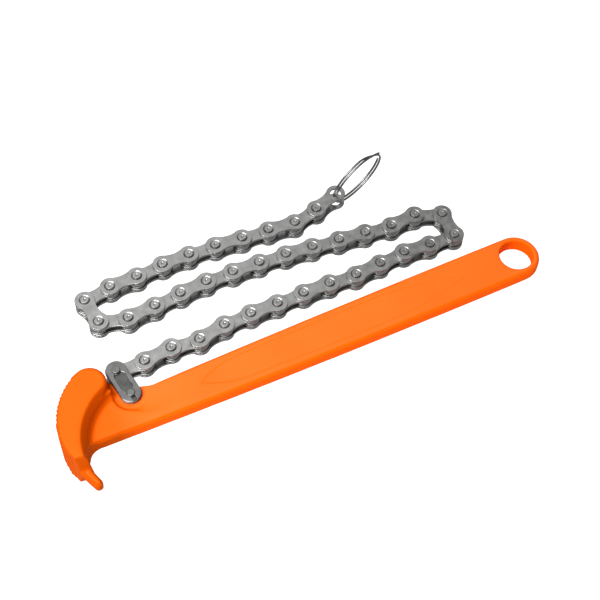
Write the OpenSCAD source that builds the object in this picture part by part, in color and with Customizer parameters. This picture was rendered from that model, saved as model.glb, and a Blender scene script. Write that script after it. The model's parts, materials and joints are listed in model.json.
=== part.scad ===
// Chain pipe wrench: a forged handle with a toothed jaw and a hook, a roller chain that a
// connecting link pins to the handle, and a split ring through the chain's last link.
// The origin is the centre of the hang hole on the handle's middle plane. +X points along
// the shaft away from the jaw, +Y points to the chain's side and +Z is up.

/* [Shaft] */
// Distance along the shaft from the hang hole to the centre of the toothed arc
reach = 186.1; // [170:0.1:220]
// Thickness of the shaft and of the web behind the jaw
shaft_t = 7.4; // [6.8:0.2:9]
// Width of the shaft at the hang hole
grip_w = 21.1; // [19:0.1:24]
// Width of the shaft at the neck
neck_w = 15.7; // [15:0.1:17]
// Bow of the shaft's lower edge
belly = 0.9; // [0.2:0.1:2]
// Bow of the shaft's upper edge
crown = 0.6; // [0.2:0.1:1.2]
// Bevel along the shaft's edges
shaft_bevel = 1.2; // [0.6:0.1:2]
// Diameter of the hang hole
hang_d = 15.2; // [10:0.2:15.6]
// Depth of the shallow panel in each side of the shaft
panel_depth = 0.3; // [0.2:0.1:0.8]
// Rim left between the panel and the shaft's edges
panel_rim = 3.5; // [3:0.1:5]

/* [Jaw] */
// Radius over the tips of the teeth
jaw_r = 30.9; // [30:0.1:34]
// Thickness of the jaw
jaw_t = 21.6; // [18:0.2:26]
// Bevel along the jaw's edges
jaw_bevel = 1.2; // [0.6:0.1:1.8]
// Distance between neighbouring teeth along the arc
tooth_pitch = 2; // [1.6:0.1:3]
// Depth of the teeth
tooth_depth = 0.9; // [0.5:0.1:1.2]
// Radius of the jaw's rounded upper end
horn_r = 7.4; // [6.8:0.1:8]
// Radius of the jaw's hollow inner wall at its faces
hollow_r = 30.6; // [29.6:0.2:31.6]
// How far the inner wall slopes in between the jaw's face and its fillet
hollow_slope = 2.2; // [1:0.2:3]
// Fillet between the inner wall and the web
hollow_fillet = 3; // [1.5:0.1:4]
// How far the jaw's lower end leans out between its faces and the prong
nose_draft = 2; // [1:0.1:3]

/* [Hook] */
// Radius of the throat between the shaft and the prong
throat_r = 6; // [5:0.2:7]
// Distance from the centre of the toothed arc back to the centre of the throat
throat_back = 17.5; // [16.8:0.1:18.2]
// Thickness of the prong
prong_t = 5.8; // [4.8:0.2:6.4]
// Width of the prong at its root
prong_w = 4.2; // [3.6:0.2:4.6]
// Width of the prong at its tip
prong_tip_w = 3.8; // [3.2:0.1:4]
// Bevel along the prong's edges
prong_bevel = 1.2; // [0.6:0.1:1.4]
// Length of the prong between the centres of its ends
prong_len = 7.8; // [6:0.2:10]

/* [Chain] */
// Distance between neighbouring pins
pitch = 12.7; // [12.2:0.1:13.4]
// Thickness of the link plates
plate_t = 1; // [0.8:0.05:1.2]
// Radius of the plates' rounded ends
plate_r = 4.4; // [4.2:0.1:4.6]
// Width of the plates at their waist
waist_w = 5.9; // [5.2:0.1:7]
// Diameter of the pins
pin_d = 3.6; // [3.2:0.1:3.8]
// Height of the riveted pin ends above the plates
rivet_h = 0.5; // [0.3:0.05:0.7]
// Depth of the countersink round each riveted head
sink = 0.25; // [0.1:0.05:0.4]
// Wall of the bushes
bush_wall = 0.7; // [0.5:0.05:0.8]
// Diameter of the rollers
roller_d = 7.75; // [7.2:0.05:8.2]
// Length of the rollers
roller_w = 2.4; // [2:0.1:3.4]
// Radial clearance of the turning fits
run_gap = 0.05; // [0.03:0.01:0.08]
// Side clearance between plates, rollers and the web
side_gap = 0.15; // [0.1:0.01:0.2]
// Seam left round pressed and riveted fits
press_gap = 0.02; // [0.01:0.01:0.04]

/* [Connecting link] */
// Radius of the connecting plates' rounded ends
link_r = 4.6; // [4.4:0.1:4.9]
// Thickness of the spring clip
clip_t = 0.8; // [0.6:0.05:1]
// Depth of the clip's grooves in the pins
groove_depth = 0.35; // [0.2:0.05:0.5]
// Gap between the sprung legs at the clip's open end
clip_mouth = 1.6; // [1.2:0.1:2]
// Width of the clip's legs between the pins
clip_leg = 2; // [1.4:0.1:2.4]
// Radius of the recess in the web round the anchor pin
recess_r = 7.6; // [7.2:0.1:8]
// Radius of the web round the anchor pin
lug_r = 4.2; // [3.8:0.1:4.6]

/* [Split ring] */
// Mean diameter of the ring
ring_d = 29; // [26:0.5:30]
// Diameter of the ring's wire
wire_d = 1.1; // [0.9:0.05:1.2]
// Diameter of the ring's hole in the last link
ring_hole_d = 5; // [4.8:0.1:5.2]
// Height of the ring's centre above the chain's middle plane
ring_rise = 3.8; // [3:0.2:4.4]
// Lean of the ring from upright, in degrees
ring_lean = 10; // [0:1:12]

/* [Hidden] */
$fn = 64;
// How far cutters run past the faces they cut
clear = 1;
// Small overlap where round outlines meet, so that they cross and do not just touch
bite = 0.05;

// Heading of each link from the anchor to the free end, in degrees from +X
headings = [
    97,
    -1, 6, -6, 10, 2, -1, 0, -1, -4, 4, 4, -5, 0,
    86,
    158, 184, 173, 173, 173, 174, 176, 178, 179, 184, 186, 184, 164,
    97,
    10, 1, 5, 0, -2, -6, -4, -6, 13, 19
];
last = len(headings);

// Point at a distance and an angle
function polar(r, a) = r * [cos(a), sin(a)];

// Places on the jaw: the arc's centre, the horn at its upper end, the hollow behind it and the nose
jaw_drop = 4.5;
jaw_c = [-reach, -jaw_drop];
horn_angle = 118;
nose_angle = 212;
teeth_from = 125;
teeth_to = 193.3;
tooth_flat = 0.15;
horn_c = jaw_c + polar(jaw_r - horn_r - bite, horn_angle);
hollow_c = jaw_c + [6, -11.8];
nose_inset = 2.7;
nose_at = 200.7;
nose_c = jaw_c + polar(jaw_r - nose_inset, nose_at);
nose_turn = -102;

// Places on the web: the throat, the neck and the anchor pin's lug
throat_c = [jaw_c.x - throat_back, bite - neck_w / 2 - throat_r];
neck_run = 14.8;
neck_x = jaw_c.x + neck_run;
horn_gap = 2.6;
anchor_drop = 0.2;
anchor = [horn_c.x + horn_r + horn_gap + link_r, neck_w / 2 - anchor_drop];
lug_edge = anchor + polar(lug_r - bite, 50);
horn_foot = 4;
horn_side = [horn_c.x + horn_r - jaw_bevel, anchor.y + horn_foot];
web_sink = 5;
web_run = 4;

// Slot for the connecting link, and the shallow dish beside it
slot_run = 7;
slot_r = link_r + 1;
dish_c = anchor + [9, 2];
dish_r = 15;

// Places on the prong, and the steps of the shaft's bowed edges
prong_angle = -70;
prong_drop = 2.4;
prong_root = throat_c - [throat_r + bite + prong_w / 2, prong_drop];
prong_tip = prong_root + polar(prong_len, prong_angle);
bow_steps = 16;

// Tips of the panel, and how long it takes to reach its full width from each of them
panel_lead = 16.3;
panel_trail = 17.4;
panel_from = neck_x + panel_lead;
panel_to = -hang_d / 2 - panel_trail;
panel_nose = 20;
panel_tail = 48;
panel_steps = 28;

// Levels of the chain, measured from its middle plane
pin_r = pin_d / 2;
bush_in = pin_r + run_gap;
bush_out = bush_in + bush_wall;
inner_lo = roller_w / 2 + side_gap;
inner_hi = inner_lo + plate_t;
outer_lo = inner_hi + side_gap;
outer_hi = outer_lo + plate_t;
pin_hi = outer_hi + rivet_h;
head_lip = 0.2;
head_r = pin_r + head_lip;
sink_flare = 1;
groove_r = pin_r - groove_depth;
clip_inset = 0.2;
clip_r = link_r - clip_inset;
clip_lo = outer_hi;
clip_hi = clip_lo + clip_t;
stud_hi = clip_hi + rivet_h;

// Place of the pin at the end of a link, counted from the anchor
function pin_at(n) = n == 0 ? anchor : pin_at(n - 1) + polar(pitch, headings[n - 1]);

// Name of a link's node: even links are inner ones
function two_digits(n) = n < 10 ? str("0", n) : str(n);
function link_kind(n) = n % 2 == 0 ? "inner_link_" : n == last ? "end_link_" : "outer_link_";
function link_name(n) = str(link_kind(n), two_digits(n));

// Half of the shaft's width with a bowed edge, from the hang hole (0) to the throat (1)
function half_width(u, bow) = (grip_w + (neck_w - grip_w) * u) / 2 + 4 * bow * u * (1 - u);
function upper_edge(u, inset) = [u * throat_c.x, half_width(u, crown) - inset];
function lower_edge(u, inset) = [u * throat_c.x, inset - half_width(u, belly)];

// Half of the panel's width, which grows from each tip in a pointed arch
function arch(s) = s < 1 ? s * (2 - s) : 1;
function panel_half(x, bow) = (half_width(x / throat_c.x, bow) - panel_rim)
    * arch((x - panel_from) / panel_nose) * arch((panel_to - x) / panel_tail);

// Distance from the ring's middle out to its wire, at a height from the middle
function ring_side(h) = sqrt(pow(ring_d / 2, 2) - pow(h, 2));

// Bar with round ends of different radii and straight sides that meet both
module round_bar(a, b, ra, rb) {
    along = b - a;
    tilt = asin((ra - rb) / norm(along));
    dir = atan2(along.y, along.x);
    up = polar(1, dir + 90 - tilt);
    down = polar(1, dir - 90 + tilt);
    side_a = ra - bite;
    side_b = rb - bite;
    translate(a)
        circle(ra);
    translate(b)
        circle(rb);
    polygon([a + side_a * up, a + side_a * down, b + side_b * down, b + side_b * up]);
}

// Disc with bevelled edges, about the origin
module bevelled_disc(r, t, bevel) {
    rotate_extrude()
        polygon([
            [0, -t / 2],
            [r - bevel, -t / 2],
            [r, -t / 2 + bevel],
            [r, t / 2 - bevel],
            [r - bevel, t / 2],
            [0, t / 2]
        ]);
}

// Outline of the shaft from the throat to the rounded hang end
module shaft_outline(inset) {
    circle(grip_w / 2 - inset);
    neck_u = neck_x / throat_c.x;
    polygon(concat(
        [for (i = [0 : bow_steps]) upper_edge(neck_u * i / bow_steps, inset)],
        [[throat_c.x - web_run, 0]],
        [for (i = [bow_steps : -1 : 0]) lower_edge(i / bow_steps, inset)]
    ));
}

module shaft() {
    hull() {
        linear_extrude(shaft_t, center = true)
            shaft_outline(shaft_bevel);
        linear_extrude(shaft_t - 2 * shaft_bevel, center = true)
            shaft_outline(0);
    }
}

// Outline of the web between the shaft, the anchor pin, the jaw and the throat
module web_outline() {
    inside = neck_w / 2 - shaft_bevel;
    polygon([
        [neck_x + web_run, inside],
        lug_edge,
        horn_side,
        horn_c,
        jaw_c + polar(jaw_r - web_sink, 160),
        jaw_c + polar(jaw_r - web_sink, 188),
        [throat_c.x - throat_r - prong_w / 2, throat_c.y],
        throat_c,
        [throat_c.x, -inside],
        [neck_x + web_run, -inside]
    ]);
}

module web() {
    linear_extrude(shaft_t, center = true) {
        web_outline();
        translate(anchor)
            circle(lug_r);
    }
}

// Space behind the jaw: it curves up from the web and flares to the jaw's faces
module hollow() {
    top = jaw_t / 2 + clear;
    foot = hollow_r - hollow_slope;
    foot_z = shaft_t / 2 - bite;
    flare = hollow_slope / (jaw_t / 2 - foot_z - hollow_fillet) * clear;
    fillet_c = [foot - hollow_fillet, foot_z + hollow_fillet];
    rise = [for (a = [-80 : 16 : 0]) fillet_c + polar(hollow_fillet, a)];
    wall = concat(rise, [[hollow_r + flare, top]]);
    translate(hollow_c)
        rotate_extrude()
            polygon(concat(
                [[0, -top]],
                [for (i = [len(wall) - 1 : -1 : 0]) [wall[i].x, -wall[i].y]],
                wall,
                [[0, top]]
            ));
}

// Space past the jaw's lower end, whose wall leans out towards the prong
module past_nose() {
    top = jaw_t / 2 + clear;
    foot_z = prong_t / 2 - bite;
    lean = nose_draft / (jaw_t / 2 - foot_z) * clear;
    translate(nose_c)
        rotate(nose_turn)
            rotate([90, 0, 0])
                linear_extrude(jaw_r, center = true)
                    polygon([
                        [-lean, top],
                        [nose_draft, foot_z],
                        [nose_draft, -foot_z],
                        [-lean, -top],
                        [jaw_r, -top],
                        [jaw_r, top]
                    ]);
}

module teeth() {
    step = tooth_pitch / jaw_r * 180 / PI;
    mouth = tooth_pitch - tooth_flat;
    for (a = [teeth_from : step : teeth_to])
        rotate(a)
            translate([jaw_r, 0, 0])
                linear_extrude(jaw_t + clear, center = true)
                    polygon([[tooth_depth, mouth], [-tooth_depth, 0], [tooth_depth, -mouth]]);
}

// Smooth land between the last tooth and the jaw's nose
module land() {
    past_nose = nose_angle + 2;
    linear_extrude(jaw_t + clear, center = true)
        difference() {
            intersection() {
                circle(jaw_r + clear);
                polygon([[0, 0], polar(2 * jaw_r, teeth_to), polar(2 * jaw_r, past_nose)]);
            }
            circle(jaw_r - tooth_depth);
        }
}

// Crescent jaw with its toothed outer arc and the fillet at its foot
module jaw() {
    difference() {
        union() {
            intersection() {
                translate(jaw_c)
                    bevelled_disc(jaw_r, jaw_t, jaw_bevel);
                translate(jaw_c)
                    linear_extrude(jaw_t + clear, center = true)
                        polygon([
                            [0, 0],
                            for (a = [horn_angle, (horn_angle + nose_angle) / 2, nose_angle])
                                polar(2 * jaw_r, a)
                        ]);
            }
            translate(horn_c)
                bevelled_disc(horn_r, jaw_t, jaw_bevel);
            linear_extrude(shaft_t + 2 * hollow_fillet, center = true)
                web_outline();
        }
        hollow();
        past_nose();
        translate(jaw_c) {
            teeth();
            land();
        }
    }
}

module prong_outline(inset) {
    round_bar(prong_root, prong_tip, prong_w / 2 - inset, prong_tip_w / 2 - inset);
}

module prong() {
    hull() {
        linear_extrude(prong_t, center = true)
            prong_outline(prong_bevel);
        linear_extrude(prong_t - 2 * prong_bevel, center = true)
            prong_outline(0);
    }
}

// Shallow panel sunk in one side of the shaft
module panel() {
    places = [for (i = [0 : panel_steps]) panel_from + (panel_to - panel_from) * i / panel_steps];
    translate([0, 0, shaft_t / 2 - panel_depth])
        linear_extrude(panel_depth + clear)
            polygon(concat(
                [for (x = places) [x, panel_half(x, crown)]],
                [for (i = [panel_steps - 1 : -1 : 1]) [places[i], -panel_half(places[i], belly)]]
            ));
}

// Recess in one side of the web for the connecting link, with a shallow dish that fades into the shaft
module recess() {
    translate([0, 0, inner_hi])
        linear_extrude(jaw_t / 2)
            round_bar(anchor, anchor + polar(slot_run, headings[0]), recess_r, slot_r);
    hull() {
        translate(concat(anchor, inner_hi + bite))
            cylinder(h = jaw_t / 2, r = slot_r);
        translate(concat(dish_c, shaft_t / 2 + bite))
            cylinder(h = jaw_t / 2, r = dish_r);
    }
}

module handle() {
    color("darkorange")
        difference() {
            union() {
                difference() {
                    union() {
                        shaft();
                        web();
                        jaw();
                    }
                    translate(throat_c)
                        cylinder(h = jaw_t + clear, r = throat_r, center = true);
                }
                prong();
            }
            cylinder(h = shaft_t + clear, d = hang_d, center = true);
            translate(anchor)
                cylinder(h = shaft_t + clear, r = pin_r + run_gap, center = true);
            for (side = [0, 1])
                mirror([0, 0, side]) {
                    recess();
                    panel();
                }
        }
}

// Places a link's own frame: its first pin at the origin and its second along +X
module at_link(n) {
    translate(pin_at(n - 1))
        rotate(headings[n - 1])
            children();
}

// Waisted plate of a link, with a hole at each end
module plate(lo, hole_a, hole_b) {
    meet_r = plate_r - bite;
    side_r = (pow(pitch / 2, 2) + pow(waist_w / 2, 2) - pow(meet_r, 2)) / (2 * meet_r - waist_w);
    side_y = waist_w / 2 + side_r;
    meet_y = side_y * meet_r / (meet_r + side_r);
    translate([0, 0, lo])
        linear_extrude(plate_t)
            difference() {
                union() {
                    circle(plate_r);
                    translate([pitch, 0])
                        circle(plate_r);
                    difference() {
                        translate([0, -meet_y])
                            square([pitch, 2 * meet_y]);
                        for (s = [-1, 1])
                            translate([pitch / 2, s * side_y])
                                circle(side_r);
                    }
                }
                circle(hole_a);
                translate([pitch, 0])
                    circle(hole_b);
            }
}

// Straight-sided plate of the connecting link
module connecting_plate(lo) {
    translate([0, 0, lo])
        linear_extrude(plate_t)
            difference() {
                round_bar([0, 0], [pitch, 0], link_r, link_r);
                for (x = [0, pitch])
                    translate([x, 0])
                        circle(pin_r + press_gap);
            }
}

// Pin with a low riveted head at each end, a small dimple in each head
module riveted_pin() {
    seat = outer_hi + press_gap;
    dimple_r = pin_r / 3;
    dimple = rivet_h / 2;
    rotate_extrude()
        polygon([
            [0, -pin_hi + dimple],
            [dimple_r, -pin_hi],
            [pin_r, -pin_hi],
            [head_r, -seat],
            [pin_r, -seat],
            [pin_r, seat],
            [head_r, seat],
            [pin_r, pin_hi],
            [dimple_r, pin_hi],
            [0, pin_hi - dimple]
        ]);
}

// Pin riveted in the rear plate, with a groove for the clip at its free end
module connecting_pin() {
    seat = outer_hi + press_gap;
    lead = 0.2;
    rotate_extrude()
        polygon([
            [0, -pin_hi],
            [pin_r, -pin_hi],
            [head_r, -seat],
            [pin_r, -seat],
            [pin_r, clip_lo],
            [groove_r, clip_lo],
            [groove_r, clip_hi],
            [pin_r, clip_hi],
            [pin_r, stud_hi - lead],
            [pin_r - lead, stud_hi],
            [0, stud_hi]
        ]);
}

module connecting_rear_plate() {
    color("dimgray")
        at_link(1)
            connecting_plate(-outer_hi);
}

module connecting_pins() {
    color("silver")
        at_link(1)
            for (x = [0, pitch])
                translate([x, 0])
                    connecting_pin();
}

module connecting_cover_plate() {
    color("gray")
        at_link(1)
            connecting_plate(outer_lo);
}

// Oval clip with a long slot that springs into the grooves of both pins
module spring_clip() {
    grip_r = groove_r + press_gap;
    open_r = clip_r - clip_leg;
    color("silver")
        at_link(1)
            translate([0, 0, clip_lo])
                linear_extrude(clip_t)
                    difference() {
                        round_bar([0, 0], [pitch, 0], clip_r, clip_r);
                        round_bar([0, 0], [pitch, 0], grip_r, grip_r);
                        round_bar([pin_d, 0], [pitch - pin_d, 0], open_r, open_r);
                        translate([-link_r, -clip_mouth / 2])
                            square([link_r, clip_mouth]);
                    }
}

// Two plates pressed on two bushes, with a free roller on each bush
module inner_link() {
    hole_r = bush_out + press_gap;
    plate(inner_lo, hole_r, hole_r);
    plate(-inner_hi, hole_r, hole_r);
    for (x = [0, pitch])
        translate([x, 0]) {
            difference() {
                cylinder(h = 2 * inner_hi, r = bush_out, center = true);
                cylinder(h = 2 * inner_hi + clear, r = bush_in, center = true);
            }
            difference() {
                cylinder(h = roller_w, d = roller_d, center = true);
                cylinder(h = roller_w + clear, r = bush_out + run_gap, center = true);
            }
        }
}

// Pair of outer plates, countersunk round each pin that is riveted in them
module outer_plates(riveted, hole_b) {
    for (side = [0, 1])
        mirror([0, 0, side])
            difference() {
                plate(outer_lo, pin_r + press_gap, hole_b);
                for (x = riveted)
                    translate([x, 0, outer_hi - sink])
                        cylinder(h = 2 * sink, r1 = head_r, r2 = head_r + sink_flare);
            }
}

// Two plates riveted on two pins
module outer_link() {
    outer_plates([0, pitch], pin_r + press_gap);
    for (x = [0, pitch])
        translate([x, 0])
            riveted_pin();
}

// Last link: one riveted pin, and a wider open hole for the ring
module end_link() {
    outer_plates([0], ring_hole_d / 2);
    riveted_pin();
}

module chain_link(n) {
    color(n % 2 == 0 ? "gray" : "darkgray")
        at_link(n)
            if (n % 2 == 0)
                inner_link();
            else if (n < last)
                outer_link();
            else
                end_link();
}

// Ring of two turns of wire, side by side, that hangs in the last link's hole
module split_ring() {
    up = ring_rise / cos(ring_lean);
    through = outer_hi / cos(ring_lean);
    out = (ring_side(up - through) + ring_side(up + through)) / 2;
    spread = 0.45 * wire_d;
    color("gainsboro")
        translate(pin_at(last))
            rotate([0, 0, headings[last - 1]])
                rotate([ring_lean, 0, 0])
                    translate([out, 0, up])
                        rotate([90, 0, 0])
                            rotate_extrude()
                                for (s = [-1, 1])
                                    translate([ring_d / 2, s * spread])
                                        circle(d = wire_d);
}

handle();
connecting_rear_plate();
connecting_pins();
connecting_cover_plate();
spring_clip();
for (n = [2 : last])
    chain_link(n);
split_ring();
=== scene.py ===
# %% [markdown]
# # A chain pipe wrench
# The part is a forged handle with a toothed jaw, a roller chain that hangs on it by a clipped
# connecting link, and a split ring on the chain's free end. The solids come from the CAD frame.
# This lesson dresses them: soft forged edges and powder coat on the handle, broken edges and
# tumbled steel on the links, and a coiled wire in place of the plain ring.

# %% Load the frame
import json
from math import cos, radians, sin

import bmesh
import bpy
import numpy as np
from mathutils import Matrix, Vector


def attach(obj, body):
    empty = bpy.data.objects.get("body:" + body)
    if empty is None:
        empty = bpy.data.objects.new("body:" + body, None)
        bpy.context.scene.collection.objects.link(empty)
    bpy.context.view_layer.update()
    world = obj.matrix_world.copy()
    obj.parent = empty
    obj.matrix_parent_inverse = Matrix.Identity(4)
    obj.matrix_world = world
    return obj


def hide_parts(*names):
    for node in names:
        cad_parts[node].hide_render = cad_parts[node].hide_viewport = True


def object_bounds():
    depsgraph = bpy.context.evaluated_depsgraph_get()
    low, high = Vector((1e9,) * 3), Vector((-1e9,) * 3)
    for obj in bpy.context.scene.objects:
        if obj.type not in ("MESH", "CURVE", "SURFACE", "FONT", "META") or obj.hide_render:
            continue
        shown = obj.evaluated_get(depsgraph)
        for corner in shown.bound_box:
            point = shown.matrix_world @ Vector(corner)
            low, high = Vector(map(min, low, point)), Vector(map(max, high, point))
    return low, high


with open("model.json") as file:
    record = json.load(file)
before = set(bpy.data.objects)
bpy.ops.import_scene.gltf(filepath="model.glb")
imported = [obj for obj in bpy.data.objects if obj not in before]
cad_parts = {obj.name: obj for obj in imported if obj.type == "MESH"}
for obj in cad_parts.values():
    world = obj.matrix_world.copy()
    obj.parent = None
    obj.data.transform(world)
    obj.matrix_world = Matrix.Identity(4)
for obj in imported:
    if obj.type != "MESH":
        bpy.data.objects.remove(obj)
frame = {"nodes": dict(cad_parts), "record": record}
nodes = frame["nodes"]
cad_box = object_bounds()
MM = 0.001

# %% [markdown]
# ## The camera
# The wrench lies flat and the camera looks down on it from the hook's side. A long lens keeps the
# chain's rows almost parallel. The frame is square, so the lens and the sensor width alone set the
# field of view, and the camera's axes are written as a turn, a tilt and a slight roll.

# %% Camera
eye = Vector((-243.6, -243.3, 457.4)) * MM
turn, tilt, roll = radians(28.86), radians(56.54), radians(3.11)

ahead = Vector((cos(tilt) * sin(turn), cos(tilt) * cos(turn), -sin(tilt)))
level = Vector((cos(turn), -sin(turn), 0))
right = cos(roll) * level + sin(roll) * level.cross(ahead)
above = right.cross(ahead)

lens = bpy.data.cameras.new("camera")
lens.sensor_width = 36
lens.lens = 75
lens.clip_start = 0.01
camera = bpy.data.objects.new("camera", lens)
axes = Matrix((right, above, -ahead)).transposed()
camera.matrix_world = Matrix.Translation(eye) @ axes.to_4x4()
bpy.context.collection.objects.link(camera)
bpy.context.scene.camera = camera
print("camera", round(eye.length / MM), "mm from the hang hole")

# %% [markdown]
# ## Shader maths
# A finish is easier to read as a formula than as a list of nodes and links. The first class below
# wraps one socket, and each operator adds one Math node. The second is a material, and any other
# node comes from its `node`. The Mix node has several sockets of one name, so its colours go by
# number.

# %% Helpers for finishes
MIX_FIRST, MIX_SECOND, MIX_RESULT = 6, 7, 2


class Value:
    """A number that changes over the surface."""

    def __init__(self, finish, socket):
        self.finish, self.socket = finish, socket

    def maths(self, operation, first, second):
        settings = {"operation": operation}
        return self.finish.node("ShaderNodeMath", settings, {0: first, 1: second})

    def __add__(self, other):
        return self.maths("ADD", self, other)

    def __sub__(self, other):
        return self.maths("SUBTRACT", self, other)

    def __rsub__(self, other):
        return self.maths("SUBTRACT", other, self)

    def __mul__(self, other):
        return self.maths("MULTIPLY", self, other)

    __radd__, __rmul__ = __add__, __mul__


class Finish:
    """A material with a Principled shader, and one way to add any other node."""

    def __init__(self, name, **fixed):
        self.material = bpy.data.materials.new(name)
        self.material.use_nodes = True
        self.tree = self.material.node_tree
        self.shader = self.tree.nodes["Principled BSDF"]
        for socket, number in fixed.items():
            self.shader.inputs[socket].default_value = number

    def feed(self, socket, what):
        if isinstance(what, Value):
            self.tree.links.new(what.socket, socket)
        else:
            socket.default_value = what

    def set(self, name, what):
        """Feeds one of the Principled shader's own sockets."""
        self.feed(self.shader.inputs[name], what)

    def node(self, kind, settings={}, inputs={}, output=0):
        new = self.tree.nodes.new(kind)
        for name, setting in settings.items():
            setattr(new, name, setting)
        for name, what in inputs.items():
            self.feed(new.inputs[name], what)
        return Value(self, new.outputs[output])

    def place(self):
        return self.node("ShaderNodeTexCoord", output="Object")

    def part(self, vector, axis):
        """A vector's X, Y or Z."""
        return self.node("ShaderNodeSeparateXYZ", {}, {"Vector": vector}, axis)

    def steepness(self):
        """0 on faces that point straight up or down, 1 on upright walls."""
        facing = self.node("ShaderNodeTexCoord", output="Normal")
        upward = {0: self.part(facing, "Z")}
        return 1 - self.node("ShaderNodeMath", {"operation": "ABSOLUTE"}, upward)

    def noise(self, size, detail):
        """Noise from 0 to 1 with features of about the given size in metres."""
        inputs = {"Vector": self.place(), "Scale": 1 / size, "Detail": detail}
        return self.node("ShaderNodeTexNoise", {}, inputs)

    def span(self, value, low, high):
        """0 at one limit of a value and 1 at the other, and clamped there."""
        inputs = {"Value": value, "From Min": low, "From Max": high}
        return self.node("ShaderNodeMapRange", {}, inputs)

    def mix(self, share, first, second):
        """Mixes two colours."""
        inputs = {"Factor": share, MIX_FIRST: first, MIX_SECOND: second}
        return self.node("ShaderNodeMix", {"data_type": "RGBA"}, inputs, MIX_RESULT)

    def bump(self, height, depth):
        """Raises the surface by up to a depth in metres."""
        inputs = {"Height": height, "Distance": depth, "Strength": 1.0}
        self.set("Normal", self.node("ShaderNodeBump", {}, inputs, "Normal"))


# %% [markdown]
# ## Powder coat
# The handle is sprayed with orange powder and baked. The coat is satin, with a fine orange-peel
# ripple and a faint change of depth where it flowed. Two noises are enough: one of about a
# millimetre for the ripple and one of a few centimetres for the colour. The flats are painted
# lighter and the steep walls a deeper orange: painted light on the tops and painted shade on the
# sides. Only the flats have a little gloss. Towards the jaw the walls are painted much darker
# still, as painted shade in the jaw's hollow, and the flats turn a deeper orange with less gloss.

# %% Powder coat
peel_size, peel_depth, flow_size = 0.9 * MM, 0.02 * MM, 28 * MM
wall_from, flat_below = 0.12, 0.008
web_x, jaw_x = -180 * MM, -194 * MM
# The wall colours are painted shade: steep walls darker than the flats, and the jaw's walls much
# darker still, for the shade in the jaw's hollow
shaft_wall_shade, jaw_wall_shade = (0.95, 0.108, 0.002, 1), (0.5, 0.066, 0.0006, 1)
thin_face, thick_face = (0.93, 0.116, 0.004, 1), (0.98, 0.13, 0.007, 1)
jaw_face = (0.94, 0.092, 0.001, 1)


def powder_coat():
    fixed = {"Metallic": 0.0, "IOR": 1.05, "Coat Roughness": 0.42}
    coat = Finish("orange_powder_coat", **fixed)
    peel = coat.noise(peel_size, detail=1)
    depth = coat.span(coat.noise(flow_size, detail=3), 0.3, 0.7)
    # Painted light and shade: faces that point up or down get the lighter face colours, steep walls
    # the darker wall colours
    flat = coat.span(coat.steepness(), wall_from, flat_below)
    jaw = coat.span(coat.part(coat.place(), "X"), web_x, jaw_x)
    wall_shade = coat.mix(jaw, shaft_wall_shade, jaw_wall_shade)
    face = coat.mix(jaw, coat.mix(depth, thin_face, thick_face), jaw_face)
    coat.set("Base Color", coat.mix(flat, wall_shade, face))
    coat.set("Roughness", 0.5 - 0.12 * flat + 0.06 * depth + 0.04 * peel)
    coat.set("Coat Weight", flat * (0.45 - 0.3 * jaw))
    coat.bump(peel, peel_depth)
    return coat.material


orange = powder_coat()
print("finish:", orange.name)

# %% [markdown]
# ## Steel
# The links are stamped and tumbled, so the steel is grey, satin and a little grainy. The connecting
# link is darker, its cover plates most of all, and the ring is smooth drawn wire. One recipe with
# different numbers serves all four: two shades of grey, a roughness and the depth of the grain.

# %% Steels
cloud_size, speck_size = 3.5 * MM, 0.22 * MM
dark_blue, light_blue = 0.985, 0.99


def steel(name, dark, light, dull, grain):
    metal = Finish(name, Metallic=1.0)
    cloud = metal.span(metal.noise(cloud_size, detail=4), 0.3, 0.7)
    speck = metal.noise(speck_size, detail=1)
    shade = metal.span(0.65 * cloud + 0.35 * speck, 0.15, 0.85)
    low, high = (dark, dark, dark * dark_blue, 1), (light, light, light * light_blue, 1)
    metal.set("Base Color", metal.mix(shade, low, high))
    metal.set("Roughness", dull - 0.07 + 0.14 * cloud)
    metal.bump(speck, grain)
    return metal.material


plate_steel = steel("tumbled_plate_steel", 0.27, 0.42, 0.34, 0.012 * MM)
clip_steel = steel("satin_clip_steel", 0.15, 0.23, 0.3, 0.008 * MM)
cover_steel = steel("dark_cover_steel", 0.09, 0.14, 0.34, 0.008 * MM)
wire_steel = steel("bright_wire_steel", 0.18, 0.26, 0.34, 0.002 * MM)
print("finishes:", plate_steel.name, clip_steel.name, cover_steel.name, wire_steel.name)

# %% [markdown]
# ## The forged handle
# A drop forging has no sharp edge: every corner is rounded and every inside corner is filled by a
# fillet, and the coat softens both further. Bevels would trip over the teeth and the sloped walls,
# so a copy of the solid is turned into even small quads by voxels, and smoothing then rounds the
# whole skin at once. The teeth and the shaft's two flats are left out of it, because the teeth were
# pressed in sharp and the flats carry the panel's fine edge. Two blocks join the copy before the
# voxels do: they fill the notch between the horn and the connecting link, which the forging hardly
# has. Smoothing also draws the skin a little into the anchor pin's bore, so the bore is opened last.

# %% Forged handle
weld_gap = 0.001 * MM
every_axis = {"use_axis_x": True, "use_axis_y": True, "use_axis_z": True}


def add_block(skin, outline, half):
    """A block of an outline's shape, from -half to half in Z."""
    base = skin.faces.new([skin.verts.new((x * MM, y * MM, -half)) for x, y in outline])
    made = bmesh.ops.extrude_face_region(skin, geom=[base], use_keep_orig=True)["geom"]
    top = [v for v in made if isinstance(v, bmesh.types.BMVert)]
    bmesh.ops.translate(skin, verts=top, vec=(0, 0, 2 * half))
    bmesh.ops.recalc_face_normals(skin, faces=skin.faces)


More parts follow.
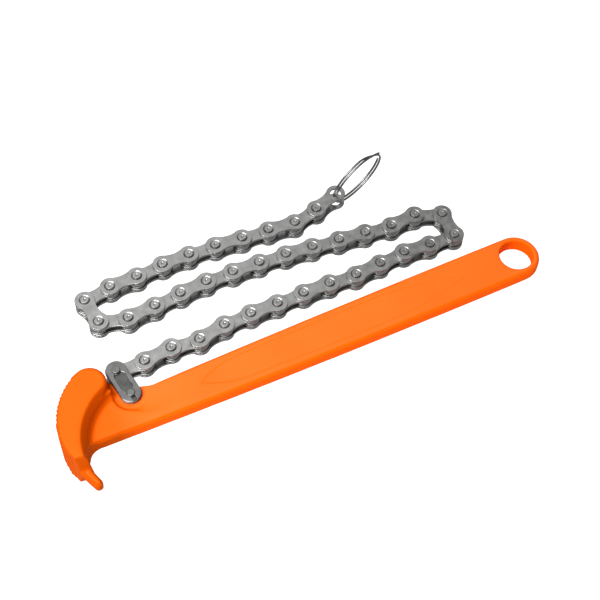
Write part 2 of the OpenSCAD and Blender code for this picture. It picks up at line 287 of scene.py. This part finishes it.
def voxel_copy(node, name, size, blocks):
    """A copy of a node's solid and some more blocks, rebuilt together from small even quads."""
    piece = bpy.data.objects.new(name, nodes[node].data.copy())
    bpy.context.collection.objects.link(piece)
    skin = bmesh.new()
    skin.from_mesh(piece.data)
    bmesh.ops.remove_doubles(skin, verts=skin.verts, dist=weld_gap)
    for outline, half in blocks:
        add_block(skin, outline, half)
    skin.to_mesh(piece.data)
    skin.free()
    remesh = piece.modifiers.new("voxels", "REMESH")
    remesh.mode = "VOXEL"
    remesh.voxel_size = size
    made = piece.evaluated_get(bpy.context.evaluated_depsgraph_get())
    even = bpy.data.meshes.new_from_object(made)
    piece.modifiers.clear()
    piece.data = even
    return piece


def soften(piece, rounds, sharp):
    """Rounds a skin by smoothing, except where `sharp` says so, and counts the points left."""
    skin = bmesh.new()
    skin.from_mesh(piece.data)
    plain = [v for v in skin.verts if not sharp(v.co)]
    left = len(skin.verts) - len(plain)
    for _ in range(rounds):
        bmesh.ops.smooth_vert(skin, verts=plain, factor=0.5, **every_axis)
    for face in skin.faces:
        face.smooth = True
    skin.to_mesh(piece.data)
    skin.free()
    return left


def open_bore(piece, middle, radius):
    """Pushes back the skin that smoothing has drawn into a bore."""
    for point in piece.data.vertices:
        aside = point.co.xy - middle
        if aside.length < radius:
            point.co.xy = middle + radius * aside.normalized()


jaw_centre = Vector((-186.1, -4.5, 0)) * MM
tooth_band, tooth_x = 29.5 * MM, -202.1 * MM
flat_z, flat_half, flat_taper = 3.2 * MM, 8.1 * MM, 0.013
flat_from, flat_to = -172 * MM, -12 * MM


def crisp(p):
    """True in the teeth and on the shaft's two flats, where only the panel's edge stands out."""
    in_teeth = (p - jaw_centre).xy.length > tooth_band and p.x < tooth_x
    in_width = abs(p.y) < flat_half + flat_taper * p.x
    on_flat = abs(p.z) > flat_z and in_width and flat_from < p.x < flat_to
    return in_teeth or on_flat


horn_foot = ((-194, 8), (-188.4, 9.4), (-189.35, 15.4), (-189.95, 20.5), (-196, 19))
horn_root = ((-194, 8), (-184.5, 9), (-184.8, 13.4), (-187.2, 15.2), (-188.6, 17),
             (-189.6, 19), (-196, 18))
fillers = ((horn_foot, 3.5 * MM), (horn_root, 2.2 * MM))
voxel_size, smooth_rounds = 0.44 * MM, 10
anchor_pin, anchor_bore = Vector((-182.51, 7.65)) * MM, 1.98 * MM

handle = voxel_copy("handle", "forged_handle", voxel_size, fillers)
left_sharp = soften(handle, smooth_rounds, crisp)
open_bore(handle, anchor_pin, anchor_bore)
handle.data.materials.clear()
handle.data.materials.append(orange)
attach(handle, "handle")
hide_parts("handle")
print("handle:", len(handle.data.polygons), "quads,", left_sharp, "points left sharp")

# %% [markdown]
# ## Links and clip
# The plates, bushes, pins and rollers already have their real shapes in the frame. What a stamped
# and tumbled piece has on top is a broken edge that catches the light. Three modifiers add it
# without touching the mesh: the loose triangles are joined, flat faces become single faces, and a
# narrow bevel runs along every sharp edge.

# %% Broken edges
link_edge, connector_edge = 0.14 * MM, 0.2 * MM
same_face, sharp_edge = radians(1), radians(40)


def break_edges(node, width):
    piece = nodes[node]
    join = piece.modifiers.new("join", "WELD")
    join.merge_threshold = weld_gap
    flat = piece.modifiers.new("flat_faces", "DECIMATE")
    flat.decimate_type = "DISSOLVE"
    flat.angle_limit = same_face
    edge = piece.modifiers.new("broken_edge", "BEVEL")
    edge.width = width
    edge.segments = 2
    edge.limit_method = "ANGLE"
    edge.angle_limit = sharp_edge


def dress(node, material):
    piece = nodes[node]
    piece.data.materials.clear()
    piece.data.materials.append(material)


links = [name for name in nodes if "_link_" in name]
connectors = {
    "connecting_rear_plate": cover_steel,
    "connecting_pins": clip_steel,
    "connecting_cover_plate": cover_steel,
    "spring_clip": clip_steel,
}
for name in links:
    break_edges(name, link_edge)
    dress(name, plate_steel)
for name, material in connectors.items():
    break_edges(name, connector_edge)
    dress(name, material)
print("broken edges:", len(links), "links and", len(connectors), "pieces of the connecting link")

# %% [markdown]
# ## The split ring
# A split ring is two turns of wire side by side, and one short step leads from the first turn to the
# second. A curve with a round bevel winds exactly that, and its first end flares out a little, as a
# ring does that has been opened. The ring's place and lean are read from the solid it stands for:
# the middle of its points, and the direction in which they spread least. The coil is a little wider
# than that solid, so it moves sideways until its far turn lies flush with the solid's far face.

# %% Split ring
def plane_of(node):
    """The centre of a node's points, their narrowest direction and their reach on three axes."""
    piece = nodes[node]
    points = np.empty(3 * len(piece.data.vertices))
    piece.data.vertices.foreach_get("co", points)
    points = points.reshape(-1, 3)
    middle = (points.max(0) + points.min(0)) / 2
    directions = np.linalg.svd(points - points.mean(0), full_matrices=False)[2]
    reach = np.abs((points - middle) @ directions.T).max(0)
    return Vector(middle), Vector(directions[2]), reach


wire_d = 1.0 * MM
half_gap = 0.64 * MM
first_end, last_end = radians(28), radians(708)
step_at, step_half = radians(420), radians(20)
flare, flare_angle = 1.0 * MM, radians(30)
wire_points = 240

centre, normal, reach = plane_of("split_ring")
swing = Vector(frame["record"]["behaviour"]["joints"][-1]["pos_m"])
away = (centre - swing) - (centre - swing).dot(normal) * normal
away.normalize()
upward = normal.cross(away)
if upward.z < 0:
    upward, normal = -upward, -normal
radius = float(reach[0]) - wire_d / 2
proud = half_gap + wire_d / 2 - float(reach[2])
centre -= (proud if normal.y > 0 else -proud) * normal


def wire_point(a):
    """One point of the coil, by its angle from the ring's far side."""
    passed = min(max((a - step_at + step_half) / (2 * step_half), 0), 1)
    aside = half_gap * (1 - 2 * (3 * passed ** 2 - 2 * passed ** 3))
    bent = max(1 - (a - first_end) / flare_angle, 0)
    out = radius + flare * bent ** 2
    return centre + out * (cos(a) * away + sin(a) * upward) + aside * normal


path = bpy.data.curves.new("ring_path", "CURVE")
path.dimensions = "3D"
path.bevel_depth = wire_d / 2
path.bevel_resolution = 3
path.use_fill_caps = True
turns = path.splines.new("POLY")
turns.points.add(wire_points - 1)
for i, point in enumerate(turns.points):
    angle = first_end + (last_end - first_end) * i / (wire_points - 1)
    point.co = (*wire_point(angle), 1)
wire = bpy.data.objects.new("ring_path", path)
bpy.context.collection.objects.link(wire)
wound = wire.evaluated_get(bpy.context.evaluated_depsgraph_get())
ring_mesh = bpy.data.meshes.new_from_object(wound)
bpy.data.objects.remove(wire)
ring_mesh.materials.clear()
ring_mesh.materials.append(wire_steel)
for face in ring_mesh.polygons:
    face.use_smooth = True
ring = bpy.data.objects.new("ring_wire", ring_mesh)
bpy.context.collection.objects.link(ring)
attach(ring, "ring")
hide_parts("split_ring")
print("ring:", round(2 * radius / MM, 1), "mm across its wire's middle")

# %% [markdown]
# ## Floor and light
# The floor is plain white. To the camera it shows mostly its own white, with enough of its lit self
# to keep a soft shadow. In the steel it mirrors as a dark grey, which keeps the links' walls darker
# than their tops. The key box stands at the left and lights the jaw's end most. A wide weak box
# behind the wrench is what the flat plates mirror into the camera.

# %% Floor
floor_white, own_white, mirrored_white = (0.9, 0.9, 0.9, 1), (1, 1, 1, 1), (0.3, 0.3, 0.3, 1)
glow_strength, glow_share = 1.4, 0.86
floor_x, floor_y, floor_half, floor_drop = -0.09, 0.02, 3.0, 0.1 * MM


def white_floor():
    white = Finish("white_floor", Roughness=1.0)
    white.set("Base Color", floor_white)
    white.set("Specular IOR Level", 0.0)
    seen = white.node("ShaderNodeLightPath", output="Is Camera Ray")
    mirrored = white.node("ShaderNodeLightPath", output="Is Glossy Ray")
    shade = white.mix(mirrored, own_white, mirrored_white)
    glow = white.node("ShaderNodeEmission", {}, {"Color": shade, "Strength": glow_strength})
    lit = Value(white, white.shader.outputs["BSDF"])
    inputs = {"Fac": glow_share * seen + mirrored, 1: lit, 2: glow}
    blend = white.node("ShaderNodeMixShader", {}, inputs)
    white.feed(white.tree.nodes["Material Output"].inputs["Surface"], blend)
    return white.material


floor_z = cad_box[0][2] - floor_drop
floor_place = Matrix.Translation((floor_x, floor_y, floor_z))
sheet = bmesh.new()
bmesh.ops.create_grid(sheet, x_segments=1, y_segments=1, size=floor_half, matrix=floor_place)
floor_mesh = bpy.data.meshes.new("floor")
sheet.to_mesh(floor_mesh)
sheet.free()
floor = bpy.data.objects.new("floor", floor_mesh)
floor_mesh.materials.append(white_floor())
bpy.context.collection.objects.link(floor)
print("floor at", round(floor_z / MM, 2), "mm")

# %% Light
target = Vector((-0.1, 0.02, 0))
sky_strength = 0.35


def soft_box(name, turn, height, far, size, power):
    """A square lamp that faces the wrench.

    Its turn runs from +Y towards +X and its height is above the floor, both in degrees.
    """
    lamp = bpy.data.lights.new(name, "AREA")
    lamp.energy = power
    lamp.size = size
    box = bpy.data.objects.new(name, lamp)
    t, h = radians(turn), radians(height)
    box.location = target + far * Vector((sin(t) * cos(h), cos(t) * cos(h), sin(h)))
    box.rotation_euler = (target - box.location).to_track_quat("-Z", "Y").to_euler()
    bpy.context.collection.objects.link(box)


soft_box("key_box", turn=-104, height=56, far=0.65, size=0.45, power=7.2)
soft_box("back_box", turn=0, height=62, far=1.3, size=0.9, power=2.4)

sky = bpy.data.worlds.new("studio")
bpy.context.scene.world = sky
sky.use_nodes = True
sky.node_tree.nodes["Background"].inputs["Color"].default_value = (1, 1, 1, 1)
sky.node_tree.nodes["Background"].inputs["Strength"].default_value = sky_strength
bpy.context.scene.view_settings.view_transform = "Standard"
print("lamps:", len(bpy.data.lights))
